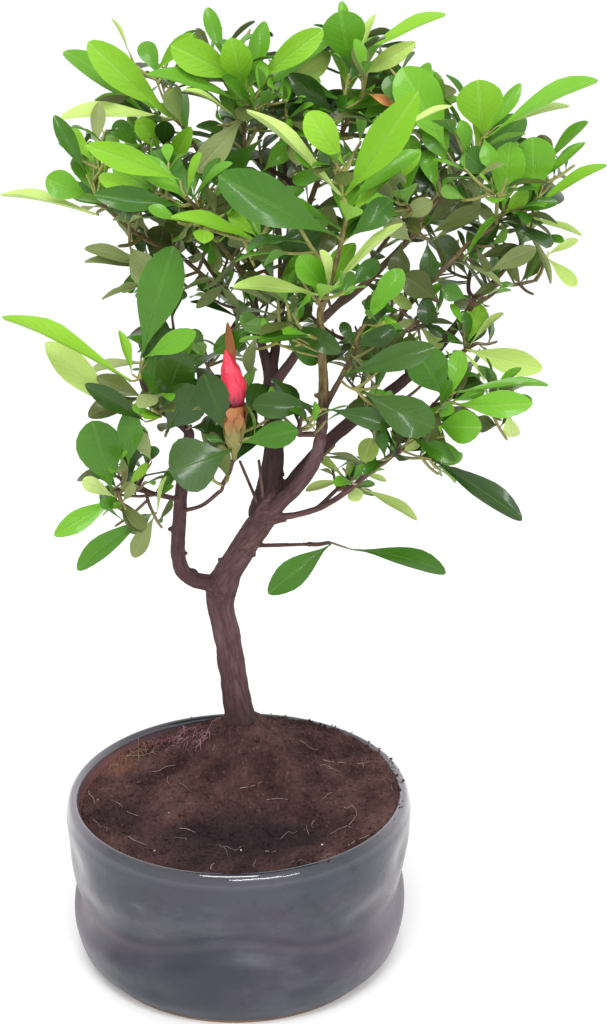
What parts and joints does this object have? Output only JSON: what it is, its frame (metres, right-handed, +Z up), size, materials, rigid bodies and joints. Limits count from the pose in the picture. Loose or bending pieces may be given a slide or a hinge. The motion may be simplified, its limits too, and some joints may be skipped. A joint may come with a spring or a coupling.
{
  "type": "azalea bonsai in a round pot",
  "caption": "Small evergreen azalea trained as a bonsai, with a forked leaning trunk, open leafy crown and one pink bud, in a glazed round pot.",
  "frame": {"origin": "middle of the pot's flat underside", "axes": "+Z up, +X to the right seen from the front, +Y away from the front"},
  "size_m": [0.1948, 0.1669, 0.3481],
  "materials": {
    "slate_glaze": "glossy slate-blue glaze",
    "potting_soil": "dark crumbly soil",
    "bark": "rough brown-purple bark",
    "foliage": "fresh green leaves, satin"
  },
  "bodies": {
    "root": {"pot": "slate_glaze", "soil": "potting_soil", "trunk": "bark", "centre_leader": "bark", "right_bough": "bark", "front_bough": "bark", "left_bough": "bark", "left_leader": "bark", "right_leader": "bark", "right_upper_bough": "bark", "right_mid_branch": "bark", "right_end_twig": "bark", "right_low_branch": "bark", "top_branch": "bark", "left_side_branch": "bark", "left_front_branch": "bark", "front_low_branch": "bark", "front_side_branch": "bark", "bud_branch": "bark", "left_low_branch": "bark", "low_right_branch": "bark", "inner_low_twig": "bark", "low_twig": "bark", "bare_twig_left": "bark", "bare_twig_right": "bark", "back_left_branch": "bark", "back_branch": "bark", "back_right_branch": "bark", "back_low_branch": "bark", "back_low_left_branch": "bark", "front_crown": "foliage", "left_front_foliage": "foliage", "left_side_foliage": "foliage", "left_crown": "foliage", "top_foliage": "foliage", "back_crown": "foliage", "right_upper_foliage": "foliage", "right_middle_foliage": "foliage", "right_outer_foliage": "foliage", "right_end_foliage": "foliage", "right_low_foliage": "foliage", "right_drop_foliage": "foliage", "inner_low_foliage": "foliage", "low_twig_foliage": "foliage", "front_low_foliage": "foliage", "front_side_foliage": "foliage", "bud_foliage": "foliage", "left_low_crown": "foliage", "left_hanging_foliage": "foliage", "back_left_foliage": "foliage", "back_foliage": "foliage", "back_right_foliage": "foliage", "back_low_foliage": "foliage", "back_low_left_foliage": "foliage"}
  },
  "joints": []
}
